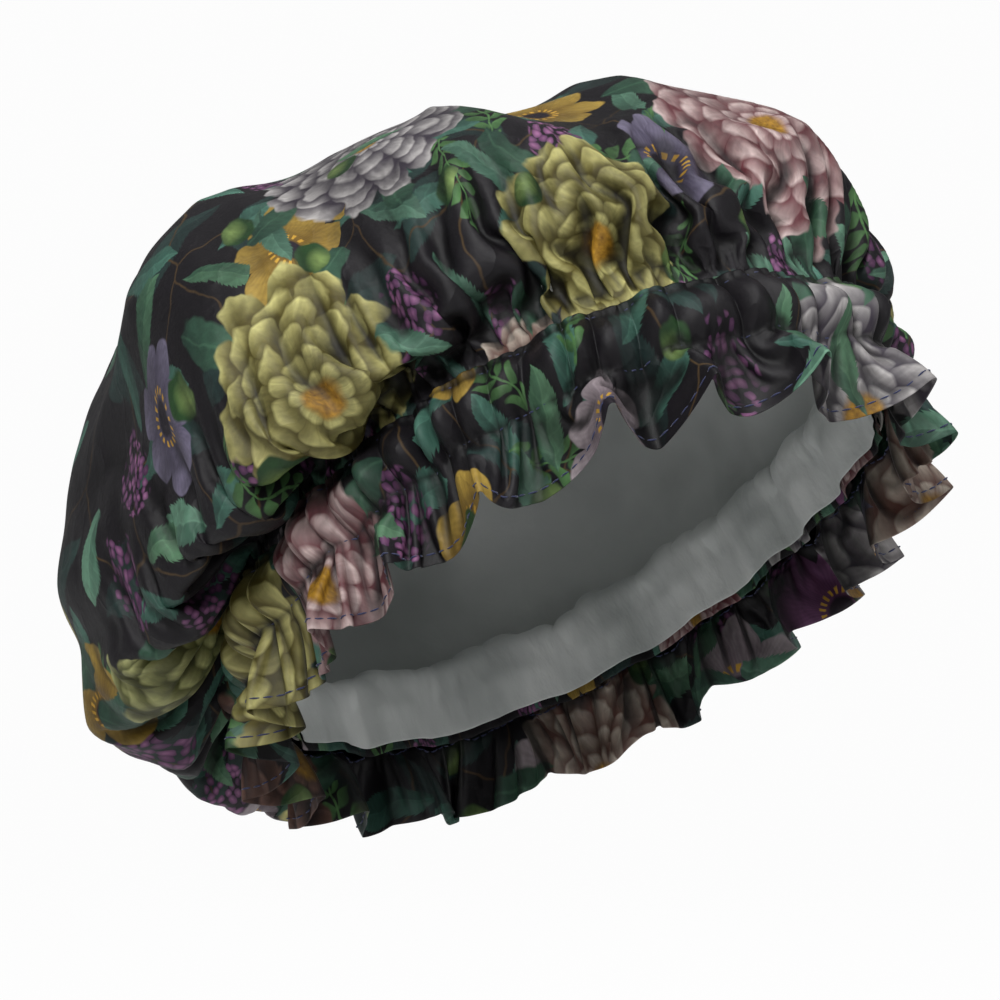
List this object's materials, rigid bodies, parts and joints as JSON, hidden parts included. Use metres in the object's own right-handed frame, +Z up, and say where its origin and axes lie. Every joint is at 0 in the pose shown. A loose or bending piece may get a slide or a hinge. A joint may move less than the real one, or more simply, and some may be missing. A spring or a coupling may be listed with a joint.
{
  "type": "shower cap",
  "caption": "Gathered fabric shower cap with a full crown that sags at the back, an elastic band in a sewn casing, and a ruffled frill, shown as worn.",
  "frame": {"origin": "centre of the head opening, in the middle of the elastic", "axes": "+Z up as worn, -Y towards the wearer's face, +X towards the wearer's left; the elastic's plane is tipped 34 degrees about X so that its front is higher"},
  "size_m": [0.2368, 0.2892, 0.2299],
  "materials": {
    "printed_cloth": "crisp satin-sheen polyester, charcoal with a floral print",
    "waterproof_film": "milky frosted film",
    "elastic": "ribbed woven elastic",
    "white_thread": "polyester thread",
    "navy_thread": "polyester thread"
  },
  "bodies": {
    "cap": {"crown_panel": "printed_cloth", "crown_lining": "waterproof_film", "frill_band": "printed_cloth", "elastic_band": "elastic", "upper_casing_seam": "navy_thread", "lower_casing_seam": "navy_thread", "hem_seam": "navy_thread"},
    "band_back": {"elastic_join": "white_thread"}
  },
  "joints": [
    {"name": "band_stretch", "type": "slide", "parent": "cap", "child": "band_back", "axis": [0, 0.829, -0.5592], "range_m": [0, 0.06], "stiffness_N_per_m": 40, "deforming": ["crown_panel", "crown_lining", "frill_band", "elastic_band", "upper_casing_seam", "lower_casing_seam", "hem_seam"]}
  ]
}
